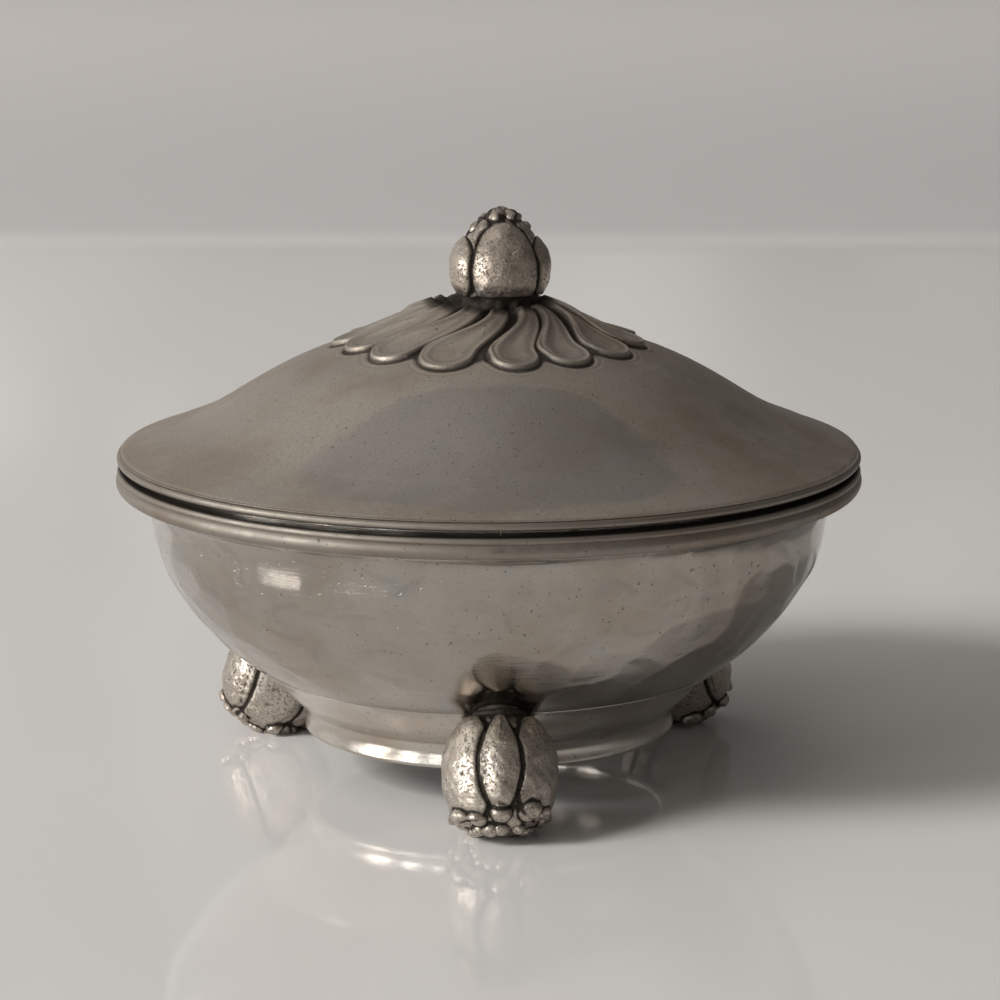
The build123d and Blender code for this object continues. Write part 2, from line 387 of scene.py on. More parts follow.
# %% [markdown]
# ## The base band
# The base is a separate ring of sheet, soldered under the vessel and filed until the joint
# disappears. Its outside therefore runs up into the vessel's wall as one hollow curve and
# ends in a feather edge, while the inside stays a plain ring.

# %% The base band
BAND_COLUMNS = 560
BAND_RIM = 31.9 * MM
BAND_WALL = 1.5 * MM
BAND_JOIN = 19.6 * MM
BAND_STEP = 0.45 * MM
# the outside, in mm outward from the rim and upward from its lower edge
BAND_SWEEP = (
    (0.84, 0.25), (0.78, 0.8), (0.60, 1.9), (0.60, 2.8), (1.1, 4.0), (2.2, 5.2), (4.1, 7.0),
)
FEATHER = (-2.2 * MM, -1.75 * MM)


def make_base_band():
    """The flared ring under the vessel, running up to a feather edge on its wall."""
    low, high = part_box("base_ring")
    foot = high.z - low.z
    top_radius, top = bowl_outside[np.searchsorted(bowl_outside[:, 1], BAND_JOIN)]
    sweep = [(BAND_RIM + out * MM, low.z + up * MM) for out, up in BAND_SWEEP]
    sweep += [(top_radius + FEATHER[0], top + FEATHER[1]), (top_radius, top)]
    outside = even_rows(smooth_curve(sweep), BAND_STEP)
    inner = BAND_RIM - BAND_WALL
    back = np.array([
        (top_radius - 0.6 * MM, top),
        (inner + 3 * MM, low.z + foot * 0.75),
        (inner, low.z + 3 * MM),
        (inner, low.z + 0.3 * MM),
        (inner + 0.3 * MM, low.z),
        (BAND_RIM + 0.45 * MM, low.z),
    ])
    outline = np.vstack([outside, back])
    points = grid_points(outline, BAND_COLUMNS)[0]
    relief = cloud(points, 24 * MM, seed=14) * 0.05 * MM
    clean = np.zeros_like(relief)
    mesh = turned_mesh("base_band", outline, BAND_COLUMNS, relief, clean, ring=True)
    return add_piece(mesh, "bowl", ["base_ring"])


base_band = make_base_band()

# %% [markdown]
# ## The lid and its petals
# The lid is spun from one sheet. Its fourteen petals are pushed up from below and chased
# from above, like spoons laid in a ring: each has a raised lip at its tip, a dished middle
# and a ridge along one side, and the punch left a fine line round the tips. A petal's plan
# is a capsule that is narrow at the finial and round at the tip, and its height depends
# only on the distance to that outline and on which side of the middle a point lies.

# %% Petal relief
PETALS = 14
PETAL_FIRST = math.radians(9)
PETAL_ROOT = 8.0 * MM
PETAL_TIP = 27.2 * MM
PETAL_TWIST = math.radians(30)
TWIST_END = 22 * MM
PETAL_NECK = 1.75 * MM
PETAL_BOWL = 4.65
PETAL_SWELL = (0.08, 0.95)
PETAL_EDGE = (-0.40 * MM, 0.35 * MM)
PETAL_LIFT = 1.55
PETAL_FALL = 0.78
LIP_HEIGHT = 0.12
DISH_DEPTH = 0.45
RIDGE_HEIGHT = 0.42
FAR_OUTSIDE = -9 * MM
SIDE_SLANT = 0.93
ROOT_ROOM = 1.5 * MM
PETAL_START = (8.2 * MM, 9.6 * MM)
GROOVE_DEPTH = 0.20 * MM
VALLEY_DEPTH = 0.75 * MM
CHASED_LINE_DEPTH = 0.07 * MM


def spoon_inside(across, along, neck, bowl, length):
    """Distance inside a spoon outline: a narrow neck that swells to a round bowl."""
    across = np.abs(across)
    share = np.clip(along / length, 0, 1)
    half = neck + (bowl - neck) * soft_step(*PETAL_SWELL, share)
    side = (half - across) * SIDE_SLANT
    tip = bowl - np.hypot(across, along - length)
    root = along + ROOT_ROOM
    return np.where(along > length, np.minimum(tip, bowl * SIDE_SLANT), np.minimum(side, root))


def petal_relief(radii, turns, seed=3):
    """Heights of the ring of petals, and how far inside its petal each point lies."""
    rng = np.random.default_rng(seed)
    radius = radii[:, None]
    turn = turns[None, :]
    height = np.zeros((len(radii), len(turns)))
    best = np.full_like(height, FAR_OUTSIDE)
    twist = PETAL_TWIST * (1 - soft_step(PETAL_ROOT, TWIST_END, radius))
    for k in range(PETALS):
        angle = PETAL_FIRST + 2 * math.pi * k / PETALS + rng.normal(0, 0.016)
        bowl = (PETAL_BOWL + rng.normal(0, 0.20)) * MM
        length = PETAL_TIP + rng.normal(0, 0.40) * MM - bowl - PETAL_ROOT
        lift = 1 + rng.normal(0, 0.08)
        curl = rng.normal(0, 0.25)
        swing = (turn - angle - twist + math.pi) % (2 * math.pi) - math.pi
        close = np.abs(swing) < 0.6
        along = radius * np.cos(swing) - PETAL_ROOT
        share = np.clip(along / length, 0, 1.4)
        across = radius * np.sin(swing) + (0.7 + curl) * MM * np.sin(share * 2.2) * (1 - share)
        inside = spoon_inside(across, along, PETAL_NECK, bowl, length)
        inside = np.where(close, inside, FAR_OUTSIDE)
        half = PETAL_NECK + (bowl - PETAL_NECK) * soft_step(*PETAL_SWELL, share)
        side = across / half
        wide = soft_step(0.25, 0.95, share)
        shape = PETAL_LIFT - PETAL_FALL * soft_step(0.1, 0.9, share)
        shape *= soft_step(*PETAL_EDGE, inside)
        shape += LIP_HEIGHT * hill(inside, 0.40 * MM, 0.24 * MM) * wide
        shape -= 0.05 * hill(inside, 0.95 * MM, 0.25 * MM) * wide
        shape -= DISH_DEPTH * soft_step(0.4 * MM, 3.6 * MM, inside) * wide
        shape += RIDGE_HEIGHT * hill(side, -0.55, 0.28) * (1 - soft_step(0.45, 1.15, share))
        shape -= 0.30 * soft_step(0.1, 0.9, side) * (1 - soft_step(0.6, 1.3, share))
        shape *= soft_step(-0.40 * MM, 0.05 * MM, inside)
        shape += 0.05 * np.sin(along / MM * 0.9 + k) * soft_step(0, 1 * MM, inside)
        height = np.maximum(height, shape * lift * MM)
        best = np.maximum(best, inside)
    valley = 1 - soft_step(-1.3 * MM, -0.1 * MM, best)
    valley *= 1 - soft_step(13 * MM, 21 * MM, radius)
    groove = hill(best, -0.50 * MM, 0.34 * MM) * GROOVE_DEPTH + valley * VALLEY_DEPTH
    line = hill(best, -1.75 * MM, 0.20 * MM) * CHASED_LINE_DEPTH
    line *= soft_step(20 * MM, 25 * MM, radius)
    return height - groove - line, best


# %% The lid
LID_COLUMNS = 900
SEAT_RADIUS = 8 * MM
BOSS_EDGE = 31 * MM
BOSS_ROWS = 116
BOSS_BEND = 20 * MM
LID_SHEET = 1.3 * MM
BRIM_STEP = 0.55 * MM
UNDERSIDE_STEP = 1.0 * MM
PETAL_DIRT_DEPTH = 0.30 * MM


def lid_seat():
    """Height of the flat under the finial."""
    return lid_outside[lid_outside[:, 0] < SEAT_RADIUS][-1, 1]


def make_lid():
    """The lid as one closed sheet, with its petals raised on the boss."""
    seat = lid_seat()
    rim_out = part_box("lid_shell")[1].x
    rim_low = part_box("lid_shell")[0].z
    brim = lid_outside[lid_outside[:, 0] >= BOSS_EDGE]
    slope = (brim[3, 1] - brim[0, 1]) / (brim[3, 0] - brim[0, 0])
    t = np.linspace(0, 1, BOSS_ROWS)[:, None]
    root = np.array([9.0 * MM, seat + 0.25 * MM])
    start = np.array([BOSS_EDGE, brim[0, 1]])
    bend_height = brim[0, 1] + slope * (BOSS_BEND - BOSS_EDGE) - 0.1 * MM
    bend = np.array([BOSS_BEND, bend_height])
    boss = (1 - t) ** 2 * root + 2 * t * (1 - t) * bend + t ** 2 * start
    crown = np.array([(0, seat), (3 * MM, seat), (6 * MM, seat), (7.8 * MM, seat)])
    brim = even_rows(brim, BRIM_STEP)
    edge = np.array([(rim_out - 0.15 * MM, rim_low + 0.30 * MM), (rim_out - 0.2 * MM, rim_low)])
    under = lid_inside[::-1]
    under = under[under[:, 0] < lid_inside[-1][0] - 1 * MM]
    under = even_rows(under[under[:, 0] > BOSS_EDGE], UNDERSIDE_STEP)
    underside = np.vstack([
        under,
        boss[::-2] - (0, LID_SHEET),
        (7.8 * MM, seat - LID_SHEET),
        (4 * MM, seat - LID_SHEET),
        (0, seat - LID_SHEET),
    ])
    outline = np.vstack([crown, boss, brim[1:], edge, underside])[::-1]
    radii = outline[:, 0]
    turns = np.linspace(0, 2 * math.pi, LID_COLUMNS, endpoint=False)
    petals, inside = petal_relief(radii, turns)
    petals *= (1 - soft_step(29.5 * MM, BOSS_EDGE, radii))[:, None]
    petals *= soft_step(*PETAL_START, radii)[:, None]
    underside_rows = len(underside) + 1
    relief = petals.copy()
    relief[:underside_rows] *= -1
    points = grid_points(outline, LID_COLUMNS)[0]
    wobble = cloud(points, 46 * MM, seed=8) * 0.16 * MM + cloud(points, 17 * MM, seed=9) * 0.03 * MM
    free = soft_step(7 * MM, 30 * MM, radii) * (1 - soft_step(58 * MM, 62 * MM, radii))
    wobble *= free[:, None]
    wobble[:underside_rows] *= -1
    relief += wobble
    recess = hollows(petals, 4, PETAL_DIRT_DEPTH)
    between = (1 - soft_step(23.5 * MM, 26.5 * MM, radii))[:, None]
    ground = soft_step(-2.3 * MM, -0.7 * MM, inside)
    ground *= 1 - soft_step(-0.35 * MM, 0.45 * MM, inside)
    ground = np.maximum(ground * between, 0.62 * hill(inside, -0.30 * MM, 0.42 * MM))
    throat = 1 - soft_step(9.0 * MM, 13 * MM, radii)
    recess = np.maximum(recess, np.maximum(ground, throat[:, None] * 0.8))
    recess = np.maximum(recess, 0.30 * hill(inside, 1.7 * MM, 0.7 * MM))
    recess[:underside_rows] = 0
    mesh = turned_mesh("petal_lid", outline, LID_COLUMNS, relief, recess)
    return add_piece(mesh, "lid", ["lid_shell"])


lid = make_lid()

# %% [markdown]
# ## Sepals, for the finial and the feet
# The finial and the feet are cast buds: overlapping sepals round a core, with dark seams
# where the casting sand kept the polishing wheel out. One function makes them all. A bud is
# a turned core on a grid of its own axis, and each sepal is a raised shield on that grid
# with a sharp edge. Berries are caps of spheres laid over the core in the same way.


# %% Bud relief
SEPAL_WIDEST = 0.85
SEPAL_EDGE = (-0.15 * MM, 0.40 * MM)
SEAM_DEPTH = 0.45 * MM
THINNEST = 2.5 * MM


def angle_gap(turns, centre):
    """Turn angles measured from a centre, between minus and plus half a turn."""
    return (turns - centre + math.pi) % (2 * math.pi) - math.pi


def sepal_relief(outline, turns, sepals):
    """Heights of overlapping sepals, and the dark seams round them, later ones on top.

    A sepal is (centre, half width, low end, high end, height, squareness), in degrees and mm.
    It is widest below its middle, and the squarer it is, the more bluntly it ends. Its edge
    is a short step, and the seam beside it is cut into whatever lies under it.
    """
    height = np.zeros((len(outline), len(turns)))
    seams = np.zeros_like(height)
    for centre, half, low, high, rise, square in sepals:
        gap = np.abs(angle_gap(turns, math.radians(centre)))[None, :]
        level = ((outline[:, 1] / MM - low) / (high - low))[:, None]
        span = np.clip(1 - np.abs(2 * level - SEPAL_WIDEST) ** square, 0, 1) ** 0.5
        inside = (span * math.radians(half) - gap) * np.maximum(outline[:, :1], THINNEST)
        inside = np.minimum(inside, np.minimum(level, 1 - level) * (high - low) * 1.2 * MM)
        crown = 0.70 + 0.40 * soft_step(0, 3.0 * MM, inside)
        groove = hill(inside, -0.32 * MM, 0.34 * MM)
        shield = soft_step(*SEPAL_EDGE, inside) * crown * rise * MM
        height = np.maximum(height - groove * SEAM_DEPTH, shield)
        stained = np.maximum(groove * 0.85, hill(inside, -0.1 * MM, 1.0 * MM) * 0.42)
        seams = np.maximum(seams * (1 - soft_step(-0.15 * MM, 0.2 * MM, inside)), stained)
    return height, seams


def berry_relief(points, berries):
    """Caps of small spheres. A berry is (x, y, z, radius) in mm in the bud's own frame."""
    height = np.zeros(points.shape[:2])
    for x, y, z, radius in berries:
        away = np.linalg.norm(points - np.array([x, y, z]) * MM, axis=2) / (radius * MM)
        height = np.maximum(height, np.sqrt(np.clip(1 - away ** 2, 0, 1)) * radius * 0.8 * MM)
    return height


def cast_skin(points, seed, amount):
    """The uneven skin of a sand casting: soft lumps with small pits sunk in them."""
    lumps = cloud(points, 4.5 * MM, seed) * 0.12
    lumps += cloud(points, 1.6 * MM, seed + 1) * 0.05
    pits = soft_step(1.25, 2.2, cloud(points, 1.3 * MM, seed + 2)) * 0.12
    return (lumps - pits) * MM * amount


# %% [markdown]
# ## The finial
# The handle of the lid is a closed bud: one broad sepal in front, others beside and behind
# it, a few small lumps at the tip, and a rough dark neck that was never polished.

# %% The finial
FINIAL_COLUMNS = 300
FINIAL_STEP = 0.16 * MM
FINIAL_DIRT_DEPTH = 0.22 * MM
# the core, as (radius, height above the seat) in mm
FINIAL_CORE = (
    (0, -1.2), (5.0, -1.2), (6.4, -0.6), (6.7, 0.6), (6.6, 2.2), (7.2, 3.6), (7.8, 5.4),
    (8.0, 7.2), (7.8, 9.0), (6.9, 11.0), (5.9, 12.4), (5.1, 13.6), (4.5, 14.6), (3.5, 15.3),
    (2.6, 16.1), (1.6, 16.8), (0, 17.0),
)
# sepals from the innermost to the front one, with heights above the seat
FINIAL_SEPALS = (
    (180, 60, 8.8, 16.6, 0.45, 2.6), (-50, 34, 8.8, 16.4, 0.50, 2.4),
    (70, 34, 9.0, 16.6, 0.50, 2.4), (-146, 42, 3.0, 13.6, 0.85, 3.2),
    (155, 43, 3.0, 13.4, 0.80, 3.2), (-80, 44, 2.9, 13.4, 0.85, 3.2),
    (90, 42, 2.8, 13.2, 0.85, 3.2), (8, 42, 3.2, 15.9, 1.10, 9.0),
)
FINIAL_LUMPS = (
    (-0.6, -1.4, 16.3, 1.7), (2.0, -0.9, 16.1, 1.6), (0.3, 1.6, 16.0, 1.7),
    (-2.6, -0.4, 15.4, 1.3), (-3.9, -1.5, 14.0, 1.1), (-4.9, -0.6, 13.1, 1.0),
    (3.9, -0.7, 14.0, 1.0),
)
NECK = (2.4 * MM, 3.6 * MM)
SEAM_START = (2.6 * MM, 4.0 * MM)


def make_finial():
    """The bud on the lid, set where its solid stands."""
    low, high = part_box("finial_bud")
    centre = (low + high) / 2
    seat = lid_seat()
    base = seat / MM
    core = np.array(FINIAL_CORE)
    core[:, 1] *= (high.z - seat) / (core[-1, 1] * MM)
    outline = even_rows(smooth_curve(core * MM + (0, seat)), FINIAL_STEP)
    points, turns = grid_points(outline, FINIAL_COLUMNS)
    sepals = [(c, half, base + start, base + end, rise, square)
              for c, half, start, end, rise, square in FINIAL_SEPALS]
    height, seam = sepal_relief(outline, turns, sepals)
    lumps = berry_relief(points, [(x, y, base + z, size) for x, y, z, size in FINIAL_LUMPS])
    above = outline[:, 1:] - seat
    seam = seam * soft_step(*SEAM_START, above)
    neck = 1 - soft_step(*NECK, above)
    ragged = cloud(points, 2.6 * MM, seed=31) * 0.30 * MM * neck
    fade = soft_step(0.2 * MM, 2.5 * MM, outline[:, :1])
    relief = (height + ragged) * fade + lumps * 0.8
    relief += cast_skin(points, seed=40, amount=0.9) * fade
    recess = np.clip(seam * 1.2 + neck + hollows(relief, 3, FINIAL_DIRT_DEPTH), 0, 1)
    shift = np.array([centre.x, centre.y, 0])
    mesh = turned_mesh("finial", outline, FINIAL_COLUMNS, relief, recess, lambda p: p + shift)
    return add_piece(mesh, "lid", ["finial_bud"])


finial = make_finial()

# %% [markdown]
# ## The feet
# Each foot is a cast bud hanging from a stepped collar, its tip turned a little outward. It
# has a narrow sepal in the middle and broad ones beside it, with small berries and a ragged
# frill underneath. The three castings are alike but were filed and fitted by hand, so each
# one is turned and worn a little differently.

# %% The feet
FOOT_COLUMNS = 320
FOOT_STEP = 0.17 * MM
FOOT_WIDTH = 18.6 * MM
FOOT_TILT = math.radians(22)
FOOT_MIDDLE = 9.6 * MM
FOOT_DIRT_DEPTH = 0.30 * MM
COLLAR_START = (18.6 * MM, 19.9 * MM)
TIP = (0.5 * MM, 2 * MM)
# the core and its collar, as (radius, height above the table) in mm
FOOT_CORE = (
    (0, 0.2), (2.2, 0.2), (4.0, 0.7), (5.8, 2.0), (7.3, 4.2), (8.3, 7.0), (8.6, 10.2),
    (8.4, 13.4), (7.5, 16.2), (6.2, 18.3), (5.0, 19.5), (4.4, 20.0),
)
FOOT_COLLAR = ((4.5, 20.3), (4.4, 20.7), (4.0, 20.9), (4.0, 21.6), (0, 21.6))
# sepals from the rear one to the narrow one in front; the first number picks its wander
FOOT_SEPALS = (
    (5, 180, 40, 3.2, 20.8, 0.95, 2.4), (3, -121, 42, 3.0, 20.8, 1.00, 2.6),
    (4, 121, 42, 3.2, 20.8, 1.00, 2.6), (1, -50, 44, 3.0, 21.0, 1.15, 2.4),
    (2, 54, 43, 3.2, 21.0, 1.05, 2.4), (0, 3, 21, 4.6, 20.6, 1.60, 1.9),
)
BERRIES = 11
FRILL_BERRIES = 15
FILLET_COLUMNS = 96
FILLET_STEP = 0.3 * MM
FILLET_DIRT = 0.6
FILLET_OUTLINE = (
    (0, 20.6), (3.6, 20.6), (4.1, 21.2), (4.3, 22.4), (5.0, 23.6), (5.8, 24.6), (0, 24.6),
)


def foot_place(node):
    """A function that sets points of the upright bud down at this foot, leaning outward."""
    low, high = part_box(node)
    centre = (low + high) / 2
    lean = np.array(Matrix.Rotation(-FOOT_TILT, 3, "X"))
    turn = np.array(Matrix.Rotation(math.atan2(centre.x, -centre.y), 3, "Z"))
    middle = np.array([0, 0, FOOT_MIDDLE])

    def place(points):
        points = ((points - middle) @ lean.T + middle) @ turn.T + np.array([centre.x, centre.y, 0])
        points[:, 2] = np.maximum(points[:, 2], 0)
        return points

    return place


def foot_berries(rng):
    """A ring of berries under the sepals, and a frill of smaller ones at the tip."""
    berries = []
    for j in range(BERRIES):
        angle = 2 * math.pi * j / BERRIES + rng.normal(0, 0.10)
        ring = 6.7 + rng.normal(0, 0.3)
        level = 3.1 + rng.normal(0, 0.5)
        size = 1.75 + rng.normal(0, 0.15)
        berries.append((ring * math.sin(angle), -ring * math.cos(angle), level, size))
    for j in range(FRILL_BERRIES):
        angle = 2 * math.pi * j / FRILL_BERRIES + rng.normal(0, 0.10)
        ring = 4.5 + rng.normal(0, 0.3)
        size = 1.15 + rng.normal(0, 0.15)
        berries.append((ring * math.sin(angle), -ring * math.cos(angle), 0.9, size))
    return berries


def make_foot(node, seed):
    """One cast foot, set and leaned where its solid stands."""
    low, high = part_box(node)
    widen = (high.x - low.x) / FOOT_WIDTH
    bud = smooth_curve(np.array(FOOT_CORE) * MM)
    outline = np.vstack([bud, np.array(FOOT_COLLAR) * MM]) * (widen, 1)
    outline = even_rows(outline, FOOT_STEP)
    points, turns = grid_points(outline, FOOT_COLUMNS)
    rng = np.random.default_rng(seed)
    wander = rng.normal(0, 4, 8)
    sepals = [(centre + wander[pick], *shape) for pick, centre, *shape in FOOT_SEPALS]
    height, seam = sepal_relief(outline, turns, sepals)
    caps = berry_relief(points, foot_berries(rng))
    level = outline[:, 1:]
    seam = seam * soft_step(*SEAM_START, level)
    body = 1 - soft_step(*COLLAR_START, level)
    skin = cast_skin(points, seed, amount=1.0)
    relief = (height * body + caps + skin) * soft_step(*TIP, outline[:, :1])
    dirt = hollows(relief, 5, FOOT_DIRT_DEPTH)
    recess = np.clip(seam + dirt + (1 - body) * 0.7, 0, 1)
    mesh = turned_mesh(node + "_casting", outline, FOOT_COLUMNS, relief, recess, foot_place(node))
    return add_piece(mesh, "bowl", [node])


def make_solder_fillet(node, seed):
    """The solder that flowed round the top of a foot where it meets the vessel."""
    outline = even_rows(np.array(FILLET_OUTLINE) * MM, FILLET_STEP)
    points = grid_points(outline, FILLET_COLUMNS)[0]
    relief = cloud(points, 5 * MM, seed) * 0.22 * MM
    relief *= soft_step(1 * MM, 4 * MM, outline[:, :1])
    dirt = np.full_like(relief, FILLET_DIRT)
    name = node.replace("foot", "solder_fillet")
    mesh = turned_mesh(name, outline, FILLET_COLUMNS, relief, dirt, foot_place(node))
    return add_piece(mesh, "bowl", ["foot_solder_joints"])


foot_nodes = ("foot_front", "foot_rear_right", "foot_rear_left")
feet = [make_foot(node, 60 + 10 * k) for k, node in enumerate(foot_nodes)]
fillets = [make_solder_fillet(node, 90 + k) for k, node in enumerate(foot_nodes)]

# %% [markdown]
# ## A small language for materials
# Node trees are easier to read as sums. The class below wraps one socket, so that adding or
# multiplying two of them adds the Math node that does it. Everything else that a tree needs
# comes from one method, which takes the node's type, its settings and its sockets.


# %% Shader expressions
BUMP_REACH = 0.1 * MM


class Wire:
    """A socket in a node tree. Arithmetic on it adds Math nodes."""

    def __init__(self, tree, socket=None):
        self.tree = tree
        self.socket = socket

    def make(self, kind, settings=None, sockets=None, output=0):
        """Adds a node, sets its properties and sockets, and wraps one of its outputs."""
        node = self.tree.nodes.new(kind)
        for key, value in (settings or {}).items():
            setattr(node, key, value)
        for key, value in (sockets or {}).items():
            if isinstance(value, Wire):
                self.tree.links.new(value.socket, node.inputs[key])
            else:
                node.inputs[key].default_value = value
        return Wire(self.tree, node.outputs[output] if len(node.outputs) else None)

    def math(self, operation, *values):
        return self.make("ShaderNodeMath", {"operation": operation}, dict(enumerate(values)))

    def __add__(self, other):
        return self.math("ADD", self, other)

    def __sub__(self, other):
        return self.math("SUBTRACT", self, other)

    def __rsub__(self, other):
        return self.math("SUBTRACT", other, self)

    def __mul__(self, other):
        return self.math("MULTIPLY", self, other)

    __radd__ = __add__
    __rmul__ = __mul__

    def between(self, low, high, start=0.0, end=1.0):
        """Maps low..high to start..end with soft ends."""
        sockets = {"Value": self, "From Min": low, "From Max": high, "To Min": start, "To Max": end}
        return self.make("ShaderNodeMapRange", {"interpolation_type": "SMOOTHSTEP"}, sockets)

    def stretched(self, x, y, z):
        return self.make("ShaderNodeVectorMath", {"operation": "MULTIPLY"}, {0: self, 1: (x, y, z)})

    def noise(self, size, detail=3.0, roughness=0.5):
        """Noise whose lumps are about size metres across."""
        sockets = {"Vector": self, "Scale": 1 / size, "Detail": detail, "Roughness": roughness}
        return self.make("ShaderNodeTexNoise", None, sockets)

    def mix(self, first, second):
        """A colour between two colours, with this value as the factor."""
        return self.make("ShaderNodeMix", {"data_type": "RGBA"}, {0: self, 6: first, 7: second}, 2)


def new_material(name):
    """An empty material, and the place on the object as the start of its expressions."""
    material = bpy.data.materials.new(name)
    material.use_nodes = True
    material.node_tree.nodes.clear()
    start = Wire(material.node_tree)
    place = start.make("ShaderNodeTexCoord", output="Object")
    return material, place


def finish_material(place, sockets, height=None):
    """Joins a Principled shader to the output. height feeds its normal through a Bump node."""
    if height is not None:
        bump = {"Height": height, "Distance": BUMP_REACH, "Strength": 1.0}
        sockets["Normal"] = place.make("ShaderNodeBump", None, bump)
    shader = place.make("ShaderNodeBsdfPrincipled", None, sockets)
    place.make("ShaderNodeOutputMaterial", None, {"Surface": shader})


# %% [markdown]
# ## The pewter finishes
# Old pewter is a soft grey metal, warmer than silver, with a sheen broken by fine wiping
# scratches, small pits and thin patches of brown and blue-grey patina. Every finish starts
# from the same metal, and adds what its own making left on it. The recess mark that was
# stored on the meshes darkens the places that a polishing cloth can't reach.

# %% The common metal
PEWTER_LIGHT = (0.53, 0.50, 0.45, 1)
PEWTER_BROWN = (0.42, 0.350, 0.290, 1)
PEWTER_BLUE = (0.42, 0.425, 0.42, 1)
PEWTER_DARK = (0.27, 0.235, 0.195, 1)
# the black of patina in pits and hollows, and also of the painted shade in the gap under the lid's
# edge
PATINA_AND_SHADE_BLACK = (0.055, 0.047, 0.040, 1)
STAIN_GREY = (0.262, 0.260, 0.265, 1)
CLOUD_SIZE = 22 * MM
SMEAR_SIZE = 7 * MM
PIT_SIZE = 0.8 * MM
GRAIN_SIZE = 0.40 * MM
MOST_DIRT = 0.96


def recess_mark(place):
    """The mark stored on the meshes: 1 where a polishing cloth can't reach."""
    return place.make("ShaderNodeAttribute", {"attribute_name": "recess"}, None, "Fac")


def height_of(place):
    """Height on the object, which is height above the table."""
    return place.make("ShaderNodeSeparateXYZ", None, {0: place}, 2)


def pewter(place, polish, shade=1.0, brown=0.5, recess=0.0, seed=0.0, speckle=0.25, warmth=0.0):
    """Colour, roughness and height that every finish shares.

    Polish is the least roughness, shade scales the colours, brown and warmth set how brown
    the patina gets, recess how dark the dirt is, and speckle how strong the grain is.
    """
    spot = place.make("ShaderNodeVectorMath", {"operation": "ADD"}, {0: place, 1: (seed, seed, seed)})
    tints = (PEWTER_LIGHT, PEWTER_BROWN, PEWTER_BLUE)
    light, dark, blue = (tuple(v * shade for v in tint[:3]) + (1,) for tint in tints)
    clouds = spot.noise(CLOUD_SIZE, 4, 0.6)
    smears = spot.noise(SMEAR_SIZE, 5, 0.65)
    colour = clouds.between(0.42, 0.66, warmth, brown).mix(light, dark)
    colour = smears.between(0.52, 0.72, 0, 0.5 - 0.4 * warmth).mix(colour, blue)
    roughness = polish + smears.between(0.35, 0.70, 0, 0.13)
    roughness = roughness + clouds.between(0.4, 0.6, 0, 0.05)
    pits = spot.noise(PIT_SIZE, 2, 0.5).between(0.67, 0.75)
    grain = spot.noise(GRAIN_SIZE, 3, 0.7)
    colour = grain.between(0.40, 0.72, 0, speckle).mix(colour, PEWTER_DARK)
    colour = (pits * 0.55).mix(colour, PATINA_AND_SHADE_BLACK)
    if recess:
        mark = recess_mark(place)
        dirt = mark.between(0.08, 0.75, 0, 1) * (0.62 + 0.6 * smears) * recess
        dirt = dirt.math("MINIMUM", dirt, MOST_DIRT)
        colour = dirt.mix(colour, PATINA_AND_SHADE_BLACK)
        roughness = roughness + dirt * 0.35
    height = grain * 0.14 - pits * 0.5
    return colour, roughness, height


def finish_metal(material, place, colour, roughness, height):
    """Joins the three expressions to a metallic shader."""
    sockets = {"Base Color": colour, "Roughness": roughness, "Metallic": 1.0}
    finish_material(place, sockets, height)
    return material


# %% The finishes
WIPING_SIZE = 6 * MM
WIPING_FINENESS = 14
SCRATCH_LENGTH = 14 * MM
SCRATCH_FINENESS = 60
LOWER_WALL = (24 * MM, 38 * MM)
STAIN_CENTRE = (0.5 * MM, -46.5 * MM, 0)
STAIN_HALF_WIDTH = 31 * MM
STAIN_HALF_DEPTH = 15.5 * MM
STAIN_RAGGEDNESS = 0.44
MATTING_SIZE = 0.7 * MM
SHEEN_GRAIN = 0.3 * MM
TOOL_LINE = 0.35 * MM
SAND_SIZE = 0.45 * MM
LUMP_SIZE = 1.6 * MM
WEAR_SIZE = 5 * MM
SOLDER_LUMP = 1.8 * MM


def make_hammered():
    """Polished by hand, with fine wiping lines round the wall."""
    material, place = new_material("hammered_pewter")
    colour, roughness, height = pewter(place, polish=0.05, shade=0.78, brown=0.60, recess=0.10)
    lower = height_of(place).between(*LOWER_WALL, 1, 0)
    wiping = place.stretched(1, 1, WIPING_FINENESS).noise(WIPING_SIZE, 4, 0.7)
    scratches = place.stretched(1, 1, SCRATCH_FINENESS).noise(SCRATCH_LENGTH, 3, 0.7)
    scratches = scratches.between(0.60, 0.72)
    height = height + wiping * (0.12 + 0.20 * lower) - scratches * 0.05
    colour = (scratches * 0.30).mix(colour, PEWTER_DARK)
    return finish_metal(material, place, colour, roughness, height)


def make_burnished():
    """The base band: the same metal, rubbed smooth."""
    material, place = new_material("burnished_pewter")
    shared = pewter(place, polish=0.10, shade=1.08, brown=0.60, seed=0.12)
    return finish_metal(material, place, *shared)


def make_satin():
    """The lid: dull, brown, granular between the petals, with a large oval stain in front."""
    material, place = new_material("satin_pewter")
    colour, roughness, height = pewter(
        place, polish=0.33, brown=1.0, recess=0.95, seed=0.31, speckle=0.5, warmth=0.45)
    shifted = place.make("ShaderNodeVectorMath", {"operation": "SUBTRACT"},
                         {0: place, 1: STAIN_CENTRE})
    flat = shifted.stretched(1 / STAIN_HALF_WIDTH, 1 / STAIN_HALF_DEPTH, 0)
    away = place.make("ShaderNodeVectorMath", {"operation": "LENGTH"}, {0: flat}, "Value")
    ragged = away + (place.noise(9 * MM, 5, 0.65) - 0.5) * STAIN_RAGGEDNESS
    stain = ragged.between(0.90, 1.03, 1, 0)
    colour = (stain * 0.45).mix(colour, STAIN_GREY)
    matting = place.noise(MATTING_SIZE, 2, 0.5) * recess_mark(place).between(0.15, 0.8)
    height = height + matting * 1.6 + place.noise(SHEEN_GRAIN, 2, 0.5) * 0.35
    roughness = roughness + 0.08 - stain * 0.06
    return finish_metal(material, place, colour, roughness, height)


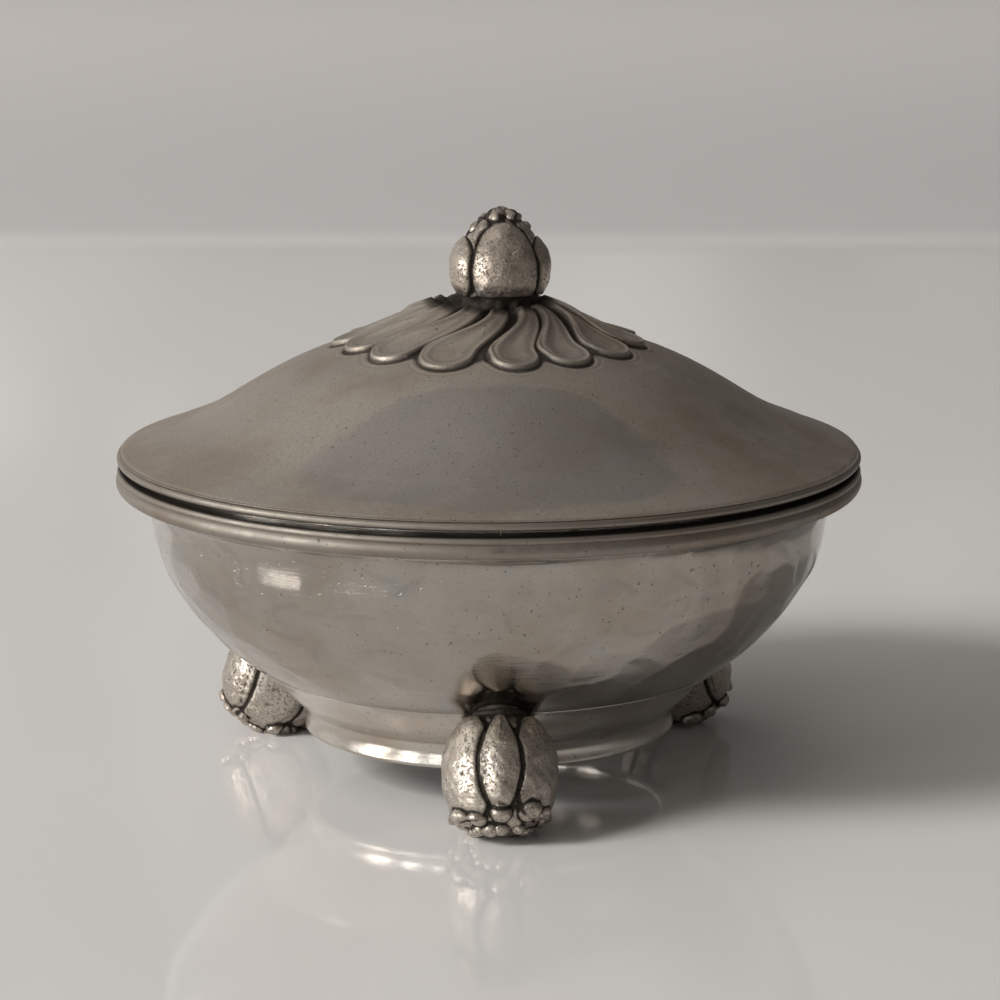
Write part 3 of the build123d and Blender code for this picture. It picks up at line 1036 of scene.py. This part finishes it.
def make_turned():
    """The rings: fine tool lines round the axis, and painted shade in the gap under the lid's edge.
    """
    material, place = new_material("turned_pewter")
    colour, roughness, height = pewter(
        place, polish=0.52, shade=0.62, brown=1.0, seed=0.57, warmth=0.4)
    lines = place.stretched(0.04, 0.04, 1).noise(TOOL_LINE, 3, 0.6)
    rise = height_of(place)
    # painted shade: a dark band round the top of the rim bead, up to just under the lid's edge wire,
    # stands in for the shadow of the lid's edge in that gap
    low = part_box("rim_bead")[1].z
    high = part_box("lid_edge_wire")[0].z
    gap = rise.between(low - 0.30 * MM, low) * rise.between(high + 0.05 * MM, high + 0.45 * MM, 1, 0)
    colour = (gap * 0.9).mix(colour, PATINA_AND_SHADE_BLACK)
    return finish_metal(material, place, colour, roughness, height + lines * 0.25)


def make_cast():
    """The castings: a sandy skin, dark where it was never polished."""
    material, place = new_material("cast_pewter")
    colour, roughness, height = pewter(
        place, polish=0.28, shade=1.12, brown=0.9, recess=1.15, seed=0.83, speckle=0.6, warmth=0.5)
    sand = place.noise(SAND_SIZE, 4, 0.7).between(0.50, 0.64)
    worn = place.noise(WEAR_SIZE, 3, 0.6).between(0.40, 0.60, 0.25, 0.75)
    colour = (sand * worn).mix(colour, PATINA_AND_SHADE_BLACK)
    height = height + place.noise(LUMP_SIZE, 4, 0.6) * 0.5 - sand * 0.5
    roughness = roughness + 0.03 + sand * 0.2
    return finish_metal(material, place, colour, roughness, height)


def make_solder():
    """Dull, lumpy and full of dirt."""
    material, place = new_material("solder")
    colour, roughness, height = pewter(
        place, polish=0.31, shade=0.8, brown=0.8, recess=1.0, seed=1.1)
    height = height + place.noise(SOLDER_LUMP, 2, 0.5) * 1.5
    return finish_metal(material, place, colour, roughness, height)


finishes = {
    "hammered_pewter": make_hammered(),
    "burnished_pewter": make_burnished(),
    "satin_pewter": make_satin(),
    "turned_pewter": make_turned(),
    "cast_pewter": make_cast(),
    "solder": make_solder(),
}
print("finishes:", list(finishes))


# %% Put the finishes on
def dress(piece, finish):
    """Gives a piece one finish in place of what it had."""
    piece.data.materials.clear()
    piece.data.materials.append(finishes[finish])


dress(vessel, "hammered_pewter")
dress(base_band, "burnished_pewter")
dress(lid, "satin_pewter")
for casting in [finial] + feet:
    dress(casting, "cast_pewter")
for ring in ("rim_bead", "lid_edge_wire", "lid_bezel"):
    dress(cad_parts[ring], "turned_pewter")
for fillet in fillets:
    dress(fillet, "solder")
dress(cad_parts["finial_solder_joint"], "solder")

# %% [markdown]
# ## The table, the backdrop and the light
# Polished metal shows the room, so the room is what lights it: a tall bright window on the
# left, two smaller ones nearer the front, a dim ceiling and a dark right side. The table is
# pale and a little glossy, so it mirrors the feet faintly and takes a soft shadow.

# %% The table
TABLE_BACK = 0.69
TABLE_X = (-4.0, 4.0)
TABLE_Y = (-3.0, 6.0)
FAR_END = 1.89
# painted shade near the camera and painted light far back, on the table and on the backdrop past its
# back edge
NEAR_SHADED_GREY = (0.485, 0.475, 0.468, 1)
FAR_LIT_GREY = (0.76, 0.745, 0.735, 1)
BACKDROP_SHADED = (0.455, 0.442, 0.442, 1)
BACKDROP_LIT = (0.68, 0.66, 0.66, 1)
TABLE_GLOSS = 0.05
TABLE_IOR = 1.55


def make_table():
    """One flat sheet, painted darker near the camera and lighter far back as painted shade and light.
    Past its back edge the colour turns to that of the backdrop, painted darkest at the horizon and
    lighter beyond it.
    """
    (left, right), (front, back) = TABLE_X, TABLE_Y
    corners = [(left, front, 0), (right, front, 0), (right, back, 0), (left, back, 0)]
    mesh = bpy.data.meshes.new("table")
    mesh.from_pydata(corners, [], [(0, 1, 2, 3)])
    table = bpy.data.objects.new("table", mesh)
    bpy.context.scene.collection.objects.link(table)
    material, place = new_material("pale_table")
    depth = place.make("ShaderNodeSeparateXYZ", None, {0: place}, 1)
    far = depth.between(TABLE_BACK - 0.04, TABLE_BACK + 0.05)
    # painted shade and light: the table's colour runs from a darker grey near the camera to a lighter
    # grey far back
    near = depth.between(-0.25, TABLE_BACK).mix(NEAR_SHADED_GREY, FAR_LIT_GREY)
    # painted shade and light: past the table's back edge the backdrop colour is darkest at the
    # horizon and grows lighter further back
    beyond = depth.between(TABLE_BACK, FAR_END).mix(BACKDROP_SHADED, BACKDROP_LIT)
    colour = far.mix(near, beyond)
    roughness = far * 0.5 + TABLE_GLOSS + place.noise(30 * MM, 3, 0.6) * 0.03
    finish_material(place, {"Base Color": colour, "Roughness": roughness, "IOR": TABLE_IOR})
    mesh.materials.append(material)
    return table


make_table()

# %% The lights
AIM = Vector((0, 0, 50 * MM))
DAYLIGHT = (1, 0.98, 0.95)
SKYLIGHT = (0.93, 0.97, 1.0)
# name, azimuth and elevation in degrees, distance, width and height in metres, watts, colour
WINDOWS = (
    ("window_tall", 73, 12, 1.6, 0.42, 0.56, 11, DAYLIGHT),
    ("window_middle", 50, 10, 1.8, 0.22, 0.50, 6, DAYLIGHT),
    ("window_small", 32, 8, 2.0, 0.12, 0.40, 2.4, DAYLIGHT),
    ("window_glow", 84, 6, 2.4, 0.9, 0.7, 3, SKYLIGHT),
    ("key_light", 62, 32, 3.6, 1.1, 1.1, 168, DAYLIGHT),
)
WALL_LEFT = 0.66
WALL_RIGHT = 0.07
CEILING = 0.27
WARM_LEFT = (1.0, 0.98, 0.94, 1)
WARM_RIGHT = (1.0, 0.94, 0.88, 1)


def window(name, azimuth, elevation, distance, width, height, power, colour):
    """A bright panel facing the bowl. Azimuth runs from the front towards the left."""
    a, e = math.radians(azimuth), math.radians(elevation)
    way = Vector((-math.sin(a) * math.cos(e), -math.cos(a) * math.cos(e), math.sin(e)))
    data = bpy.data.lights.new(name, "AREA")
    data.shape = "RECTANGLE"
    data.size, data.size_y = width, height
    data.energy = power
    data.color = colour
    light = bpy.data.objects.new(name, data)
    light.visible_camera = False
    light.location = AIM + way * distance
    light.rotation_euler = way.to_track_quat("Z", "Y").to_euler()
    bpy.context.scene.collection.objects.link(light)
    return light


def make_room():
    """The room that the metal mirrors: bright walls on the left, dark ones on the right."""
    world = bpy.data.worlds.new("room")
    world.use_nodes = True
    world.node_tree.nodes.clear()
    start = Wire(world.node_tree)
    way = start.make("ShaderNodeTexCoord", output="Generated")
    left = way.make("ShaderNodeSeparateXYZ", None, {0: way}, 0)
    up = way.make("ShaderNodeSeparateXYZ", None, {0: way}, 2)
    side = left.between(-0.9, 0.6, 0, 1)
    clutter = way.noise(0.30, 2, 0.5).between(0.44, 0.56)
    ceiling = up.between(0.25, 0.95)
    wall = side.between(0, 1, WALL_LEFT, WALL_RIGHT) * (1 - 0.55 * ceiling)
    detail = way.noise(0.13, 2, 0.5).between(0.46, 0.54)
    level = (wall + CEILING * ceiling) * (0.38 + 0.9 * clutter + 0.36 * detail)
    tone = side.mix(WARM_LEFT, WARM_RIGHT)
    shade = way.make("ShaderNodeBackground", None, {"Color": tone, "Strength": level})
    way.make("ShaderNodeOutputWorld", None, {"Surface": shade})
    bpy.context.scene.world = world


make_room()
for row in WINDOWS:
    window(*row)
bpy.data.objects["key_light"].visible_glossy = False
bpy.context.scene.view_settings.view_transform = "Standard"
